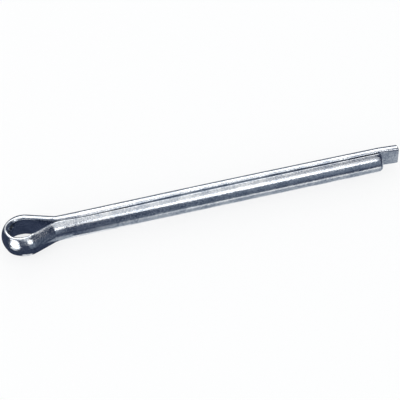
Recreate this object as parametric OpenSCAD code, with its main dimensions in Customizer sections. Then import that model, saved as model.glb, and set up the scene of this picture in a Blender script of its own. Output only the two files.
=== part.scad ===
// Split cotter pin to ISO 1234, nominal size 5 x 63.
// One length of half-round wire, folded with its flat face inward: a long leg, a bend at the neck,
// a round eye, a second bend and a short leg. The two legs together make the round shank.
// The shank starts at the origin, under the eye, and runs along +X. The hole of the eye runs along Z.

/* [Shank] */
// Diameter across both legs
shank_d = 4.6; // [3.8:0.1:5.4]
// Length of the short leg, from the neck to its end
short_leg_len = 63; // [32:1:80]
// How much further the long leg reaches
extra_len = 3.9; // [3.2:0.1:6]
// Gap between the flats of the two legs
leg_gap = 0.15; // [0.1:0.05:0.3]

/* [Eye] */
// Width across the outside of the eye
eye_w = 8.7; // [7.8:0.1:11]
// Angle between each flank of the eye and the shank
flank_angle = 21; // [16:1:30]
// Radius of the crease that each neck bend leaves on the outside
crease_r = 0.8; // [0.4:0.1:1.2]

/* [Wire] */
// Rounding of the two edges where the flat of the wire meets the round
wire_edge_r = 0.4; // [0.15:0.05:0.55]
// Rounding that the shear leaves round the outside of each end
end_r = 0.6; // [0.2:0.1:0.8]
// Lean of the long leg's tip towards the short leg
tip_angle = 5; // [1:1:8]

/* [Hidden] */
$fn = 64;

// Radius of the round of the wire, and its thickness from the flat to the top of the round
wire_r = shank_d / 2;
wire_t = wire_r - leg_gap / 2;
// Radius of the hole at the round end of the eye
eye_r = eye_w / 2 - wire_t;
// Radius of the flat through a neck bend
bend_r = wire_t + crease_r;
// Length of a flank that brings the two flats together to the gap
flank_len = (eye_r * cos(flank_angle) - leg_gap / 2 - bend_r * (1 - cos(flank_angle))) / sin(flank_angle);
// Radius of the flat where the tip starts to lean, and the straight length of the tip past that
tip_bend_r = 8;
tip_len = 2.6;
tip_bend_len = tip_bend_r * tip_angle * PI / 180;

// A turn is a hair thinner than a straight length and runs a little way into it at either end, so
// that the wire joins into one solid
joint_step = 0.005;
joint_lap = 0.04;

// Section of the wire: the flat on the Y axis, the round towards +X. The two legs' rounds share one centre,
// half the gap behind each flat. Inset makes the section smaller all round.
module wire_section(inset = 0) {
    round_r = wire_r - inset;
    flat_x = leg_gap / 2 + inset;
    edge = [flat_x + wire_edge_r, sqrt(pow(round_r - wire_edge_r, 2) - pow(flat_x + wire_edge_r, 2))];
    past = 2 * wire_r;
    translate([-leg_gap / 2, 0]) difference() {
        intersection() {
            circle(round_r);
            translate([flat_x, -past]) square(2 * past);
        }
        for (side = [0, 1]) mirror([0, side]) difference() {
            polygon([[-past, edge.y], edge, edge * past / norm(edge), [-past, past]]);
            translate(edge) circle(wire_edge_r);
        }
    }
}

// The wire is laid piece by piece. Each piece starts at the origin, runs along +X with its flat on the
// XZ plane and its round towards -Y, and places what follows it at its far end.

// A straight length
module straight(len) {
    rotate([90, 0, 90]) linear_extrude(len) mirror([1, 0]) wire_section();
    translate([len, 0, 0]) children();
}

// A turn towards the flat, with the flat at radius r
module turn_in(r, angle) {
    lap = joint_lap / r * 180 / PI;
    translate([0, r, 0]) {
        rotate([0, 0, -90 - lap]) rotate_extrude(angle = angle + 2 * lap)
            translate([r, 0]) wire_section(joint_step);
        rotate([0, 0, angle]) translate([0, -r, 0]) children();
    }
}

// A turn towards the round, with the flat at radius r
module turn_out(r, angle) {
    lap = joint_lap / r * 180 / PI;
    translate([0, -r, 0]) {
        rotate([0, 0, 90 - angle - lap]) rotate_extrude(angle = angle + 2 * lap)
            translate([r, 0]) mirror([1, 0]) wire_section(joint_step);
        rotate([0, 0, -angle]) translate([0, r, 0]) children();
    }
}

// A straight length up to a sheared end, with the outside edge of the end rolled over
module sheared_end(len) {
    difference() {
        straight(len);
        translate([len - end_r, leg_gap / 2, 0]) rotate([0, 90, 0]) rotate_extrude()
            translate([wire_r - end_r, 0]) difference() {
                square(2 * end_r);
                circle(end_r);
            }
    }
}

module long_leg() {
    straight(short_leg_len + extra_len - tip_len - tip_bend_len)
    turn_in(tip_bend_r, tip_angle)
    sheared_end(tip_len);
}

module eye_and_short_leg() {
    turn_out(bend_r, flank_angle)
    straight(flank_len)
    turn_in(eye_r, 180 + 2 * flank_angle)
    straight(flank_len)
    turn_out(bend_r, flank_angle)
    sheared_end(short_leg_len);
}

module cotter_pin() {
    color("#9aa3b3") translate([0, leg_gap / 2, 0]) {
        mirror([0, 1, 0]) long_leg();
        rotate([0, 0, 180]) eye_and_short_leg();
    }
}

cotter_pin();
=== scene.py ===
"""Dresses the split cotter pin.

It is one length of half-round zinc plated steel wire, folded into a round eye and two legs of
unequal length. It lies on a pale floor under soft studio light.
"""

import math

import bmesh
import bpy
from mathutils import Matrix, Vector


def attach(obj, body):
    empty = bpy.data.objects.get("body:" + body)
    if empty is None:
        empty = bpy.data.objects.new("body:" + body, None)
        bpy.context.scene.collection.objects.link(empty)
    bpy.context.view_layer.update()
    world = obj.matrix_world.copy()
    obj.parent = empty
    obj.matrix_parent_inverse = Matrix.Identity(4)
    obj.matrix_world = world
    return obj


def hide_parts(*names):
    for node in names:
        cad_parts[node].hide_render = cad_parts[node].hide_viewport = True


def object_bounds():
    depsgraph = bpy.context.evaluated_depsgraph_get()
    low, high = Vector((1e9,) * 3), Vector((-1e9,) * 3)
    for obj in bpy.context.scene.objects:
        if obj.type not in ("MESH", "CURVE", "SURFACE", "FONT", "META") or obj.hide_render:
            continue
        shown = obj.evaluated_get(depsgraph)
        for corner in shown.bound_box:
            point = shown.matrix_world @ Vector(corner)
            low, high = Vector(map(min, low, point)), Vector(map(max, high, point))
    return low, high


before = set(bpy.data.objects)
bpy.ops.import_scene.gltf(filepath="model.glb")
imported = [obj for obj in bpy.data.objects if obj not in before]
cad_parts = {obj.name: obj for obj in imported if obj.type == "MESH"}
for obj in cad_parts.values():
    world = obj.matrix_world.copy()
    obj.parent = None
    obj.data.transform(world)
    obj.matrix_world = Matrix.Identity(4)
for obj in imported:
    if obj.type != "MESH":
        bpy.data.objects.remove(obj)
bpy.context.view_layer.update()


scene = bpy.context.scene
MM = 0.001

# ---------------------------------------------------------------- sizes of the pin, in millimetres
# The shank starts at the origin and runs along +X, with the long leg on its +Y side.
SHANK_D = 4.6
LEG_GAP = 0.15
SHORT_LEG = 63.35
LONG_LEG = 66.85
EYE_W = 8.7
# the wire: the radius of its round side, its thickness, and where the short leg's flat lies
WIRE_R = SHANK_D / 2
WIRE_T = WIRE_R - LEG_GAP / 2
FLAT_Y = -LEG_GAP / 2
# the radius of the hole, and how far the middle of the eye lies behind the start of the shank
EYE_R = EYE_W / 2 - WIRE_T
EYE_BACK = 6.02
# rounding of the wire's two edges, and of the outside of each sheared end
WIRE_EDGE_R = 0.4
SHORT_END_R = 0.7
LONG_END_R = 0.2
# the tip of the long leg leans towards the short one
TIP_LEN = 3.1
TIP_LEAN = math.radians(4.5)
TIP_BEND_R = 8.0

# ---------------------------------------------------------------- marks of folding and shearing
# A pair of places is a span over which a mark comes in or goes away. Round the eye they are
# degrees, 0 at its far end, 90 at its sides and more along the flanks. On the legs they are
# places along X.
# The far end of the eye is a little flatter than round.
EYE_SQUASH = 0.965
# The edges of the flat spread away from the hole, most at the far end. Round the eye the spread
# goes with a power of the cosine, and from the wire's middle to its edges with a power of the
# distance. From this deep under the flat it grows less.
END_SPREAD = 1.15
END_SPREAD_POWER = 1.8
EDGE_POWER = 2.0
EDGE_DEPTH = 0.3
# On the near side the edges spread as well, and there the spread keeps closer to the edges.
NEAR_SPREAD = 0.65
NEAR_EDGE_POWER = 2.5
NEAR_SIDE_IN = (0, 80)
NEAR_SPREAD_OUT = (80, 140)
# The near side is also thicker towards the hole.
NEAR_SWELL = 0.45
NEAR_SWELL_OUT = (85, 155)
# The flats part past the neck. The short leg's moves this share less further along.
PARTING_IN = (0, 5)
SHORT_FLAT_MOVE = 0.33
SHORT_FLAT_RETURN = 0.32
SHORT_FLAT_RETURN_IN = (8, 42)
# The long leg's flat moves near the neck, and a little near its tip.
LONG_FLAT_MOVE = 0.28
LONG_FLAT_MOVE_OUT = (4, 30)
TIP_FLAT_MOVE = 0.05
TIP_FLAT_MOVE_IN = (40, 60)
# The long leg bows away from the short one.
LEG_BOW = 0.12
# The shear leaves the underside of the long leg's tip this share thinner.
TIP_PINCH = 0.28
TIP_PINCH_IN = (61, 67.5)

# ---------------------------------------------------------------- how finely the wire is made
ROUND_POINTS = 96
WIRE_EDGE_STEPS = 6
FLAT_CUTS = 12
# points of the round this near the flat make way for the rounded edge
EDGE_ROOM = 0.35
# rings this far apart cut up the legs, and so many cut up each flank
RING_SPACING = 0.8
FLANK_RINGS = 8
# faces that meet at less than this angle are shaded as one surface
SMOOTH_ANGLE = math.radians(35)
# places closer together than this are the same place
SAME = 0.001
# what lies this close to a cut moves on to it, in metres, because the usual distance is too coarse
# for so small a part
CUT_SNAP = 1e-7
# each point of the mesh keeps its place on the straight wire under this name, in metres: how far
# along, how deep under the flat, and how far up
WIRE_PLACE = "straight_wire"


# ---------------------------------------------------------------- modelling
def pick(piece, test, kind="VERT"):
    """Selects the points, edges or faces whose middle passes the test, and nothing else.

    The test gets the middle in millimetres.
    """
    bpy.ops.mesh.select_all(action="DESELECT")
    bpy.ops.mesh.select_mode(type=kind)
    mesh = bmesh.from_edit_mesh(piece.data)
    for part in {"VERT": mesh.verts, "EDGE": mesh.edges, "FACE": mesh.faces}[kind]:
        corners = [part] if kind == "VERT" else part.verts
        middle = sum((corner.co for corner in corners), Vector()) / len(corners)
        part.select_set(bool(test(middle / MM)))
    mesh.select_flush_mode()
    bmesh.update_edit_mesh(piece.data)


class Wire:
    """Lays the wire from its selected end face, and keeps where that end is and which way it runs.

    The point it keeps is on the middle of the flat.
    """

    def __init__(self, piece, x, y, heading):
        self.piece = piece
        self.at = Vector((x, y, 0))
        self.heading = heading
        self.run = 0.0

    def mark(self):
        """Writes how far along the wire the selected points are."""
        mesh = bmesh.from_edit_mesh(self.piece.data)
        layer = mesh.verts.layers.float_vector[WIRE_PLACE]
        for v in mesh.verts:
            if v.select:
                v[layer] = (self.run * MM, v[layer].y, v[layer].z)
        bmesh.update_edit_mesh(self.piece.data)

    def straight(self, length, rings=0):
        """A straight length, cut up by so many rings."""
        steps = rings + 1
        move = Vector((math.cos(self.heading), math.sin(self.heading), 0)) * length / steps
        for _ in range(steps):
            bpy.ops.mesh.extrude_region_move(TRANSFORM_OT_translate={"value": move * MM})
            self.at += move
            self.run += length / steps
            self.mark()

    def turn(self, radius, angle, steps):
        """A turn with the flat at this radius. A positive angle turns anticlockwise from above."""
        left = Vector((-math.sin(self.heading), math.cos(self.heading), 0))
        centre = self.at + left * math.copysign(radius, angle)
        for _ in range(steps):
            bpy.ops.mesh.spin(steps=1, angle=-angle / steps, center=centre * MM, axis=(0, 0, 1))
            self.at = centre + Matrix.Rotation(angle / steps, 3, "Z") @ (self.at - centre)
            self.heading += angle / steps
            self.run += abs(angle) / steps * radius
            self.mark()

    def sheared_end(self, end_r, growing, steps=7):
        """The rounded edge of an end. The section grows from the end or shrinks towards it."""
        angles = [math.pi / 2 * i / steps for i in range(steps + 1)]
        if growing:
            angles.reverse()
        for a, b in zip(angles, angles[1:]):
            self.straight(end_r * abs(math.sin(b) - math.sin(a)))
            self.scale(end_scale(end_r, b) / end_scale(end_r, a))

    def scale(self, factor):
        bpy.ops.transform.resize(value=(factor, factor, factor), center_override=self.at * MM)


def end_scale(end_r, angle):
    """How large the section is part of the way round the rounding of an end."""
    return 1 - end_r / WIRE_R * (1 - math.cos(angle))


class Neck:
    """One bend between a leg and the eye, with the straight flank that follows it.

    The wire eases into the bend over a longer curve first. The reach is how far the middle of the
    eye lies behind the start of that curve.
    """

    def __init__(self, angle, crease_r, ease_angle, ease_r):
        self.angle = math.radians(angle)
        self.r = WIRE_T + crease_r
        self.ease = math.radians(ease_angle)
        self.ease_r = ease_r
        rise = EYE_R * math.cos(self.angle) - LEG_GAP / 2
        rise -= ease_r * (1 - math.cos(self.ease))
        rise -= self.r * (math.cos(self.ease) - math.cos(self.angle))
        self.flank = rise / math.sin(self.angle)
        self.reach = (
            ease_r * math.sin(self.ease) + self.r * (math.sin(self.angle) - math.sin(self.ease))
            + self.flank * math.cos(self.angle) + EYE_R * math.sin(self.angle))


def half_round_section():
    """A face with the wire's section, at the end of the short leg. It stays in edit mode."""
    bpy.ops.object.select_all(action="DESELECT")
    bpy.ops.mesh.primitive_circle_add(
        vertices=ROUND_POINTS, radius=WIRE_R * MM, fill_type="NGON",
        location=(SHORT_LEG * MM, 0, 0), rotation=(0, math.pi / 2, 0))
    piece = bpy.context.object
    piece.name = piece.data.name = "cotter_pin_wire"
    bpy.ops.object.transform_apply(location=True, rotation=True, scale=True)
    bpy.ops.object.mode_set(mode="EDIT")

    # the circle loses what lies past the flat, its two corners are rounded, and the flat is cut up
    bpy.ops.mesh.select_all(action="SELECT")
    bpy.ops.mesh.bisect(
        plane_co=(0, FLAT_Y * MM, 0), plane_no=(0, 1, 0), clear_outer=True, threshold=CUT_SNAP)
    pick(piece, lambda p: FLAT_Y - EDGE_ROOM < p.y < FLAT_Y - SAME)
    bpy.ops.mesh.dissolve_verts()
    pick(piece, lambda p: abs(p.y - FLAT_Y) < SAME)
    bpy.ops.mesh.bevel(
        affect="VERTICES", offset=WIRE_EDGE_R * MM, segments=WIRE_EDGE_STEPS, profile=0.5)
    pick(piece, lambda p: abs(p.y - FLAT_Y) < SAME and abs(p.z) < SAME, "EDGE")
    bpy.ops.mesh.subdivide(number_cuts=FLAT_CUTS)

    mesh = bmesh.from_edit_mesh(piece.data)
    layer = mesh.verts.layers.float_vector.new(WIRE_PLACE)
    for v in mesh.verts:
        v[layer] = (0, FLAT_Y * MM - v.co.y, v.co.z)
    bmesh.update_edit_mesh(piece.data)
    return piece


def lay_wire(piece, near, far):
    """Lays the whole wire from its section. Tells where the long leg's straight starts and ends."""
    bpy.ops.mesh.select_mode(type="FACE")
    bpy.ops.mesh.select_all(action="SELECT")
    wire = Wire(piece, SHORT_LEG, FLAT_Y, math.pi)

    # the short leg, its neck and its flank
    wire.scale(end_scale(SHORT_END_R, math.pi / 2))
    wire.sheared_end(SHORT_END_R, growing=True)
    short_run = SHORT_LEG - SHORT_END_R - (near.reach - EYE_BACK)
    wire.straight(short_run, rings=round(short_run / RING_SPACING))
    wire.turn(near.ease_r, near.ease, steps=6)
    wire.turn(near.r, near.angle - near.ease, steps=8)
    wire.straight(near.flank, rings=FLANK_RINGS)

    # the eye
    wire.turn(EYE_R, -(math.pi + near.angle + far.angle), steps=56)

    # the other flank and neck, and the long leg with its tip
    wire.straight(far.flank, rings=FLANK_RINGS)
    wire.turn(far.r, far.angle - far.ease, steps=8)
    wire.turn(far.ease_r, far.ease, steps=4)
    start = wire.at.x
    end = LONG_LEG - TIP_LEN - TIP_BEND_R * TIP_LEAN
    wire.straight(end - start, rings=round((end - start) / RING_SPACING))
    wire.turn(TIP_BEND_R, -TIP_LEAN, steps=3)
    wire.straight(TIP_LEN - LONG_END_R)
    wire.sheared_end(LONG_END_R, growing=False)
    return start, end


def ramp(place, span):
    """A soft rise from 0 where a span starts to 1 where it ends."""
    t = min(1, max(0, (place - span[0]) / (span[1] - span[0])))
    return t * t * (3 - 2 * t)


def push_round_eye(x, y, depth, height):
    """How far the fold pushes a point of the eye or of a flank."""
    spoke = Vector((x + EYE_BACK, y, 0))
    round_eye = math.degrees(math.atan2(abs(spoke.y), -spoke.x))
    spread = END_SPREAD * max(0, math.cos(math.radians(round_eye))) ** END_SPREAD_POWER
    edge_power = EDGE_POWER
    swell = 0
    if spoke.y < 0:
        at_side = ramp(round_eye, NEAR_SIDE_IN)
        spreading = 1 - ramp(round_eye, NEAR_SPREAD_OUT)
        swelling = 1 - ramp(round_eye, NEAR_SWELL_OUT)
        spread += NEAR_SPREAD * at_side * spreading
        edge_power += NEAR_EDGE_POWER * at_side * spreading
        swell = NEAR_SWELL * at_side * swelling * max(0, 1 - depth / WIRE_T)
    at_edge = (height / WIRE_R) ** edge_power * (1 - ramp(depth, (EDGE_DEPTH, WIRE_T)))
    return spoke.normalized() * spread * at_edge + Vector((0, swell, 0))


def move_flat(x, y, depth):
    """How far a point of a leg moves along Y as the flats part. The round's top stays in place."""
    at_flat = max(0, 1 - depth / WIRE_T) ** 2
    past_neck = ramp(x, PARTING_IN)
    if y < 0:
        kept = 1 - SHORT_FLAT_RETURN * ramp(x, SHORT_FLAT_RETURN_IN)
        return -SHORT_FLAT_MOVE * past_neck * kept * at_flat
    near_neck = past_neck * (1 - ramp(x, LONG_FLAT_MOVE_OUT))
    near_tip = ramp(x, TIP_FLAT_MOVE_IN)
    return -(LONG_FLAT_MOVE * near_neck + TIP_FLAT_MOVE * near_tip) * at_flat


def settle(piece, start, end):
    """Moves the points of the laid wire to where the folding leaves them."""
    mesh = bmesh.from_edit_mesh(piece.data)
    layer = mesh.verts.layers.float_vector[WIRE_PLACE]
    for v in mesh.verts:
        at = v.co / MM
        depth, height = v[layer].y / MM, abs(v[layer].z) / MM
        if at.x < 0:
            at += push_round_eye(at.x, at.y, depth, height)
        bow = 0
        if at.y > 0 and start < at.x < end:
            bow = LEG_BOW * math.sin(math.pi * (at.x - start) / (end - start))
        if at.x > 0:
            at.y += move_flat(at.x, at.y, depth)
        at.y += bow
        if (at.y > 0 or at.x > SHORT_LEG) and at.z < 0:
            at.z *= 1 - TIP_PINCH * ramp(at.x, TIP_PINCH_IN)
        if at.x < -EYE_BACK:
            at.x = (at.x + EYE_BACK) * EYE_SQUASH - EYE_BACK
        v.co = at * MM
    bmesh.update_edit_mesh(piece.data)


def cotter_pin_wire():
    piece = half_round_section()
    near = Neck(angle=22.0, crease_r=0.4, ease_angle=5.0, ease_r=28.0)
    far = Neck(angle=20.2, crease_r=0.8, ease_angle=2.0, ease_r=28.0)
    start, end = lay_wire(piece, near, far)
    settle(piece, start, end)
    bpy.ops.mesh.select_all(action="SELECT")
    bpy.ops.mesh.normals_make_consistent(inside=False)
    bpy.ops.object.mode_set(mode="OBJECT")
    bpy.ops.object.shade_smooth_by_angle(angle=SMOOTH_ANGLE)
    return piece


pin = cotter_pin_wire()
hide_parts("cotter_pin")
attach(pin, "root")


# ---------------------------------------------------------------- materials
def linear(hex_colour):
    """A #rrggbb colour as linear RGBA."""
    def one(c):
        return c / 12.92 if c <= 0.04045 else ((c + 0.055) / 1.055) ** 2.4
    return tuple(one(int(hex_colour[i:i + 2], 16) / 255) for i in (1, 3, 5)) + (1.0,)


def node(tree, kind, sockets=None, **settings):
    """Adds a node with its settings, and its sockets as values or as the (node, output) to link.

    Sockets go by name or number. A Mix node's are 2 and 3 for numbers and 6 and 7 for colours.
    """
    made = tree.nodes.new(kind)
    for name, value in settings.items():
        setattr(made, name, value)
    for socket, value in (sockets or {}).items():
        if isinstance(value, tuple) and isinstance(value[0], bpy.types.Node):
            tree.links.new(value[0].outputs[value[1]], made.inputs[socket])
        else:
            made.inputs[socket].default_value = value
    return made


def new_material(name):
    material = bpy.data.materials.new(name)
    material.use_nodes = True
    material.node_tree.nodes.clear()
    return material, material.node_tree


def zinc_plated_drawn_steel():
    """Steel wire drawn through a die, then bright zinc plated.

    The eye sees a bluish mirror, clouded where the zinc is thicker, with a fine crystal grain and
    faint lines that the die left along the wire.
    """
    material, tree = new_material("zinc_plated_drawn_steel")
    place = node(tree, "ShaderNodeTexCoord")
    wire = node(tree, "ShaderNodeAttribute", attribute_name=WIRE_PLACE)

    # die lines about 9 mm long and 0.22 mm apart, drawn coarser than the real ones
    laid = node(tree, "ShaderNodeMapping", {
        "Vector": (wire, "Vector"), "Scale": (1 / (9 * MM), 1 / (0.22 * MM), 1 / (0.22 * MM))})
    lines = node(tree, "ShaderNodeTexNoise", {
        "Vector": (laid, "Vector"), "Scale": 1.0, "Detail": 2.0, "Roughness": 0.6})
    # zinc crystals 0.3 mm across, drawn coarser than the real ones
    grain = node(tree, "ShaderNodeTexNoise", {
        "Vector": (place, "Object"), "Scale": 1 / (0.3 * MM), "Detail": 3.0, "Roughness": 0.7})
    # clouds in the plating, about 3 mm across
    cloud = node(tree, "ShaderNodeTexNoise", {
        "Vector": (place, "Object"), "Scale": 1 / (3 * MM), "Detail": 2.0, "Roughness": 0.5})

    mottle = node(
        tree, "ShaderNodeMix", {"Factor": 0.35, 2: (grain, "Fac"), 3: (cloud, "Fac")},
        data_type="FLOAT")
    tint = node(tree, "ShaderNodeValToRGB", {"Fac": (mottle, "Result")})
    dull, bright = tint.color_ramp.elements
    dull.position, dull.color = 0.40, linear("#b4bcc8")
    bright.position, bright.color = 0.58, linear("#f6f8fa")
    gloss = node(tree, "ShaderNodeMapRange", {
        "Value": (grain, "Fac"), "From Min": 0.35, "From Max": 0.65,
        "To Min": 0.10, "To Max": 0.24})

    fine = node(tree, "ShaderNodeBump", {
        "Height": (grain, "Fac"), "Strength": 1.0, "Distance": 0.013 * MM})
    drawn = node(tree, "ShaderNodeBump", {
        "Height": (lines, "Fac"), "Normal": (fine, "Normal"),
        "Strength": 1.0, "Distance": 0.010 * MM})
    shader = node(tree, "ShaderNodeBsdfPrincipled", {
        "Base Color": (tint, "Color"), "Metallic": 1.0, "Roughness": (gloss, "Result"),
        "Normal": (drawn, "Normal")})
    node(tree, "ShaderNodeOutputMaterial", {"Surface": (shader, "BSDF")})
    return material


def seen_or_mirrored(tree):
    """1 for the camera and for what gloss or glass shows of the surface, 0 for what it lights."""
    path = node(tree, "ShaderNodeLightPath")
    seen = node(tree, "ShaderNodeMath", {0: (path, "Is Camera Ray"), 1: (path, "Is Glossy Ray")})
    return node(
        tree, "ShaderNodeMath", {0: (seen, "Value"), 1: (path, "Is Transmission Ray")},
        use_clamp=True)


def pale_board():
    """White matt board, lifted towards white so that the shadow on it stays soft and faint."""
    material, tree = new_material("pale_board")
    board = node(
        tree, "ShaderNodeBsdfPrincipled", {"Base Color": linear("#f9f9f9"), "Roughness": 0.9})
    white = node(tree, "ShaderNodeEmission", {"Color": linear("#ffffff"), "Strength": 1.0})
    lift = node(
        tree, "ShaderNodeMath", {0: (seen_or_mirrored(tree), "Value"), 1: 0.8},
        operation="MULTIPLY")
    lifted = node(tree, "ShaderNodeMixShader", {
        "Fac": (lift, "Value"), 1: (board, "BSDF"), 2: (white, "Emission")})
    node(tree, "ShaderNodeOutputMaterial", {"Surface": (lifted, "Shader")})
    return material


def even_tone(name, colour):
    """A card of one tone."""
    material, tree = new_material(name)
    light = node(tree, "ShaderNodeEmission", {"Color": linear(colour), "Strength": 1.0})
    node(tree, "ShaderNodeOutputMaterial", {"Surface": (light, "Emission")})
    return material


def graded_tone(name, start, end, axis, start_at, end_at):
    """A card that goes evenly from one tone to another, between two places in metres on an axis."""
    material, tree = new_material(name)
    place = node(tree, "ShaderNodeTexCoord")
    split = node(tree, "ShaderNodeSeparateXYZ", {"Vector": (place, "Object")})
    along = node(tree, "ShaderNodeMapRange", {
        "Value": (split, axis), "From Min": start_at, "From Max": end_at})
    tone = node(
        tree, "ShaderNodeMix", {"Factor": (along, "Result"), 6: linear(start), 7: linear(end)},
        data_type="RGBA")
    light = node(tree, "ShaderNodeEmission", {"Color": (tone, 2), "Strength": 1.0})
    node(tree, "ShaderNodeOutputMaterial", {"Surface": (light, "Emission")})
    return material


def bench_tone():
    """A dark bench, lighter behind the pin and in front of the middle of its shank."""
    material, tree = new_material("dark_bench")
    place = node(tree, "ShaderNodeTexCoord")
    split = node(tree, "ShaderNodeSeparateXYZ", {"Vector": (place, "Object")})
    behind = node(tree, "ShaderNodeMapRange", {
        "Value": (split, "Y"), "From Min": 0.003, "From Max": 0.006, "To Max": 0.45})
    past_eye = node(tree, "ShaderNodeMapRange", {
        "Value": (split, "X"), "From Min": -0.010, "From Max": -0.006})
    past_neck = node(tree, "ShaderNodeMapRange", {
        "Value": (split, "X"), "From Min": 0.004, "From Max": 0.018, "To Max": 0.8})
    before_tip = node(tree, "ShaderNodeMapRange", {
        "Value": (split, "X"), "From Min": 0.040, "From Max": 0.064,
        "To Min": 1.0, "To Max": 0.3})
    back = node(
        tree, "ShaderNodeMath", {0: (behind, "Result"), 1: (past_eye, "Result")},
        operation="MULTIPLY")
    front = node(
        tree, "ShaderNodeMath", {0: (past_neck, "Result"), 1: (before_tip, "Result")},
        operation="MULTIPLY")
    lighter = node(
        tree, "ShaderNodeMath", {0: (back, "Value"), 1: (front, "Value")}, operation="MAXIMUM")
    tone = node(
        tree, "ShaderNodeMix", {
            "Factor": (lighter, "Value"), 6: linear("#373f52"), 7: linear("#6d7785")},
        data_type="RGBA")
    light = node(tree, "ShaderNodeEmission", {"Color": (tone, 2), "Strength": 1.0})
    node(tree, "ShaderNodeOutputMaterial", {"Surface": (light, "Emission")})
    return material


pin.data.materials.append(zinc_plated_drawn_steel())

# ---------------------------------------------------------------- floor and light, in metres
PIN_MIDDLE = Vector((0.028, 0, 0))
EYE_MIDDLE = Vector((-0.0065, 0, 0))
FLOOR_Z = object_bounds()[0].z
# how many points the full circle of a round or bent card has
CARD_POINTS = 120

bpy.ops.object.select_all(action="DESELECT")
bpy.ops.mesh.primitive_plane_add(size=4.0, location=(0, 0, FLOOR_Z))
floor = bpy.context.object
floor.name = floor.data.name = "floor"
floor.data.materials.append(pale_board())

world = bpy.data.worlds.new("studio")
world.use_nodes = True
scene.world = world
tree = world.node_tree
tree.nodes.clear()
room = node(tree, "ShaderNodeBackground", {"Color": (0.95, 0.98, 1.0, 1.0), "Strength": 0.85})
white = node(tree, "ShaderNodeBackground", {"Color": linear("#ffffff"), "Strength": 1.0})
around = node(tree, "ShaderNodeMixShader", {
    "Fac": (seen_or_mirrored(tree), "Value"), 1: (room, "Background"), 2: (white, "Background")})
node(tree, "ShaderNodeOutputWorld", {"Surface": (around, "Shader")})


# Cards round the pin are for the metal to reflect. The camera doesn't see them, they cast no
# shadow, and nothing matt is lit by them.
def finish_card(card, name, material):
    card.name = card.data.name = name
    card.data.materials.append(material)
    card.visible_camera = False
    card.visible_diffuse = False
    card.visible_shadow = False


def within(value, span):
    return span[0] < value < span[1]


def middle_of(span):
    return sum(span) / 2


def length_of(span):
    return span[1] - span[0]


def azimuth_round(centre, place):
    """Degrees round the centre, 0 straight in front and growing to the right."""
    return math.degrees(math.atan2(place.x - centre.x, centre.y - place.y))


def standing_card(name, azimuths, heights, radius, material):
    """A card bent round the pin, from one azimuth to the other and one height to the other."""
    bpy.ops.object.select_all(action="DESELECT")
    bpy.ops.mesh.primitive_cylinder_add(
        vertices=CARD_POINTS, radius=radius, depth=length_of(heights), end_fill_type="NOTHING",
        location=(PIN_MIDDLE.x, PIN_MIDDLE.y, FLOOR_Z + middle_of(heights)))
    card = bpy.context.object
    bpy.ops.object.transform_apply(location=True, rotation=True, scale=True)
    bpy.ops.object.mode_set(mode="EDIT")
    pick(card, lambda p: not within(azimuth_round(PIN_MIDDLE, p * MM), azimuths), "FACE")
    bpy.ops.mesh.delete(type="FACE")
    bpy.ops.object.mode_set(mode="OBJECT")
    finish_card(card, name, material)


def round_card(name, centre, radius, lift, material, cuts, cut_away):
    """A round card flat above the floor, cut along lines, without what passes the test."""
    bpy.ops.object.select_all(action="DESELECT")
    bpy.ops.mesh.primitive_circle_add(
        vertices=CARD_POINTS, radius=radius, fill_type="TRIFAN",
        location=(centre.x, centre.y, FLOOR_Z + lift))
    card = bpy.context.object
    bpy.ops.object.transform_apply(location=True, rotation=True, scale=True)
    bpy.ops.object.mode_set(mode="EDIT")
    for normal, distance in cuts:
        bpy.ops.mesh.select_all(action="SELECT")
        bpy.ops.mesh.bisect(plane_co=normal * distance, plane_no=normal, threshold=CUT_SNAP)
    pick(card, lambda p: cut_away(p * MM), "FACE")
    bpy.ops.mesh.delete(type="FACE")
    bpy.ops.object.mode_set(mode="OBJECT")
    finish_card(card, name, material)


def strip_card(name, along, across, lift, material, slant=0):
    """A strip flat above the floor, over these spans of X and of Y.

    The right end of its back edge stands further back by the slant.
    """
    centre = Vector((middle_of(along), middle_of(across), FLOOR_Z + lift))
    bpy.ops.object.select_all(action="DESELECT")
    bpy.ops.mesh.primitive_plane_add(size=1, location=centre)
    card = bpy.context.object
    bpy.ops.transform.resize(value=(length_of(along), length_of(across), 1))
    bpy.ops.object.transform_apply(location=True, rotation=True, scale=True)
    bpy.ops.object.mode_set(mode="EDIT")
    pick(card, lambda p: p.x * MM > centre.x and p.y * MM > centre.y)
    bpy.ops.transform.translate(value=(0, slant, 0))
    bpy.ops.object.mode_set(mode="OBJECT")
    finish_card(card, name, material)


def upright_card(name, along, y, heights, material):
    """A strip on its edge along X, over these spans of X and of height above the floor."""
    bpy.ops.object.select_all(action="DESELECT")
    bpy.ops.mesh.primitive_plane_add(
        size=1, location=(middle_of(along), y, FLOOR_Z + middle_of(heights)),
        rotation=(math.pi / 2, 0, 0))
    card = bpy.context.object
    bpy.ops.object.transform_apply(location=False, rotation=True, scale=True)
    bpy.ops.transform.resize(value=(length_of(along), 1, length_of(heights)))
    bpy.ops.object.transform_apply(location=True, rotation=True, scale=True)
    finish_card(card, name, material)


def softbox(name, azimuth, elevation, distance, size, power, shape="RECTANGLE", roll=0):
    """A soft lamp facing the pin's middle. Its azimuth is 0 in front and grows to the right."""
    light = bpy.data.lights.new(name, "AREA")
    light.shape = shape
    light.size, light.size_y = size
    light.energy = power
    lamp = bpy.data.objects.new(name, light)
    round_pin, up = math.radians(azimuth), math.radians(elevation)
    away = Vector((
        math.sin(round_pin) * math.cos(up), -math.cos(round_pin) * math.cos(up), math.sin(up)))
    turn = away.to_track_quat("Z", "Y").to_matrix() @ Matrix.Rotation(math.radians(roll), 3, "Z")
    lamp.location = PIN_MIDDLE + away * distance
    lamp.rotation_euler = turn.to_euler()
    lamp.visible_camera = False
    scene.collection.objects.link(lamp)


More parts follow.
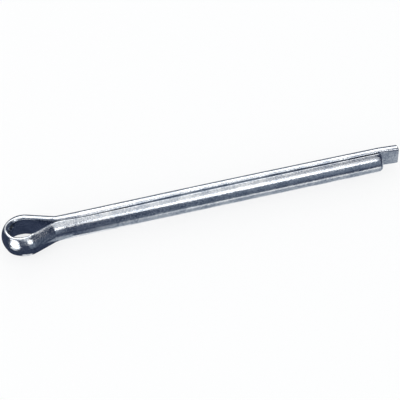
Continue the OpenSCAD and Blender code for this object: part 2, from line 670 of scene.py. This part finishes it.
# the room is dark in front of the pin and on its left, where a lamp stands in it, and dim on its
# right
front_room = graded_tone("front_room", "#6c7787", "#7f8997", axis="Z", start_at=0.1, end_at=0.4)
left_room = graded_tone("left_room", "#3a4256", "#a3a8b2", axis="Z", start_at=0.5, end_at=1.2)
right_room = graded_tone("right_room", "#3d4557", "#59616f", axis="Z", start_at=2.2, end_at=2.8)
NEAR_WALL_R = 0.75
WALL_R = 0.80
standing_card("front_card", (8, 35), heights=(0, 0.58), radius=NEAR_WALL_R, material=front_room)
standing_card("left_card", (-120, 8), heights=(0, 2.8), radius=WALL_R, material=left_room)
standing_card("back_left_card", (-180, -120), heights=(0.30, 2.8), radius=WALL_R, material=left_room)
standing_card("front_right_card", (27, 46), heights=(0, 1.15), radius=WALL_R, material=right_room)
standing_card("right_card", (46, 112), heights=(0, 2.8), radius=WALL_R, material=right_room)
standing_card("back_right_card", (112, 143), heights=(0, 2.6), radius=WALL_R, material=right_room)

# overhead it is dim on the left
CEILING_END = 0.08
round_card(
    "ceiling_card", Vector((-0.5, 0, 0)), radius=1.2, lift=2.8,
    material=even_tone("dim_ceiling", "#868e98"), cuts=[(Vector((1, 0, 0)), CEILING_END)],
    cut_away=lambda p: p.x > CEILING_END)

# The bench is dark too. The white floor shows through a slot in it along the shank, through a
# window under the eye, and through a wide opening further off, towards the left lamp.
SLOT_X, SLOT_Y = (0, 0.0655), (-0.0085, 0.0035)
# the slot's left end also runs slantwise, this far along the slant
SLANT = Vector((4.5, 4.0, 0)).normalized()
SLANT_AT = -0.0018
WINDOW_X, WINDOW_Y = (-0.0076, -0.0052), (-0.0049, -0.0036)
TO_LAMP = (-70, -42)
BENCH_CUTS = (
    [(SLANT, SLANT_AT)] + [(Vector((1, 0, 0)), x) for x in SLOT_X + WINDOW_X]
    + [(Vector((0, 1, 0)), y) for y in SLOT_Y + WINDOW_Y])


def in_slot_or_window(p):
    in_slot = p.dot(SLANT) > SLANT_AT and within(p.x, SLOT_X) and within(p.y, SLOT_Y)
    return in_slot or within(p.x, WINDOW_X) and within(p.y, WINDOW_Y)


def open_floor(p):
    return in_slot_or_window(p) or within(azimuth_round(EYE_MIDDLE, p), TO_LAMP)


bench = bench_tone()
round_card(
    "bench_card", EYE_MIDDLE, radius=0.7, lift=0.04 * MM, material=bench, cuts=BENCH_CUTS,
    cut_away=open_floor)
round_card(
    "eye_card", EYE_MIDDLE, radius=0.0105, lift=0.06 * MM, material=bench, cuts=BENCH_CUTS,
    cut_away=in_slot_or_window)

# Strips in the slot make the shank's underside darker than the white floor would. Three of them are
# painted shade: the floor's shade close beside the pin, as the metal reflects it. They lie under its
# front, one after the other from the neck to the tip.
STRIP_LIFT = 0.08 * MM
STRIP_FRONT = -0.0055
SHANK_START_X = (0.003, 0.018)
TIP_X = (0.064, 0.080)
# painted shade of the floor under the neck and the shank, darkest where the shank starts
painted_shade_under_neck = even_tone("painted_shade_under_neck", "#a0a7b0")
painted_shade_under_shank = graded_tone(
    "painted_shade_under_shank", "#4a5366", "#a0a7b0", axis="X", start_at=0.004, end_at=0.011)
strip_card(
    "neck_card", along=(0, SHANK_START_X[0]), across=(STRIP_FRONT, -0.0015), lift=STRIP_LIFT,
    material=painted_shade_under_neck, slant=-0.0015)
strip_card(
    "shank_start_card", along=SHANK_START_X, across=(STRIP_FRONT, -0.0030), lift=STRIP_LIFT,
    material=painted_shade_under_shank, slant=0.0009)
strip_card(
    "shank_card", along=(SHANK_START_X[1], TIP_X[0]), across=(STRIP_FRONT, -0.0021),
    lift=STRIP_LIFT, material=painted_shade_under_shank)

# two lie under the tip and past it, a grey one in front, painted shade of the floor under the tip,
# and a pale one behind
TIP_LIFT = 0.09 * MM
TIP_SPLIT = -0.0004
painted_shade_under_tip = graded_tone("painted_shade_under_tip", "#8a929e", "#a0a7b0", axis="X", start_at=TIP_X[0], end_at=0.0655)
behind_tip = even_tone("behind_tip", "#f2f5f8")
strip_card(
    "tip_card", along=TIP_X, across=(STRIP_FRONT, TIP_SPLIT), lift=TIP_LIFT, material=painted_shade_under_tip)
strip_card(
    "tip_edge_card", along=(0.0635, TIP_X[1]), across=(TIP_SPLIT, SLOT_Y[1]), lift=TIP_LIFT,
    material=behind_tip)

# and one covers the front of the slot where it starts
slot_start = graded_tone("slot_start", "#565f70", "#f2f5f8", axis="X", start_at=0.005, end_at=0.028)
strip_card(
    "slot_start_card", along=(0, 0.028), across=(SLOT_Y[0], STRIP_FRONT), lift=0.10 * MM,
    material=slot_start)

# a strip between the legs is as bright as the light that finds its way down the seam
in_seam = graded_tone("in_seam", "#8b939f", "#3a4150", axis="X", start_at=0.035, end_at=0.058)
upright_card(
    "seam_card", along=(0.014, 0.060), y=-0.12 * MM, heights=(0.1 * MM, 3.5 * MM),
    material=in_seam)

# a dim strip over the hole keeps the back lamp out of the near flank's edge
over_hole = even_tone("over_hole", "#667082")
upright_card(
    "flank_edge_card", along=(-0.0046, -0.0002), y=1.0 * MM, heights=(4.6 * MM, 7.7 * MM),
    material=over_hole)

softbox(
    "front_softbox", azimuth=18.5, elevation=46.5, distance=0.6, size=(0.13, 0.15), power=0.168)
softbox(
    "left_softbox", azimuth=-59, elevation=8, distance=0.5, size=(0.30, 0.50), power=1.0,
    shape="ELLIPSE", roll=-30)
softbox("back_softbox", azimuth=170, elevation=26, distance=0.6, size=(0.5, 0.37), power=0.75)

# ---------------------------------------------------------------- camera
camera_data = bpy.data.cameras.new("camera")
camera_data.sensor_width = 36
camera_data.lens = 163.6
camera_data.clip_start = 0.01
camera = bpy.data.objects.new("camera", camera_data)
camera.location = (-0.03204, -0.21553, 0.25748)
camera.rotation_euler = [math.radians(turn) for turn in (40.91, 0.166, -15.661)]
scene.collection.objects.link(camera)
scene.camera = camera
scene.view_settings.view_transform = "Standard"
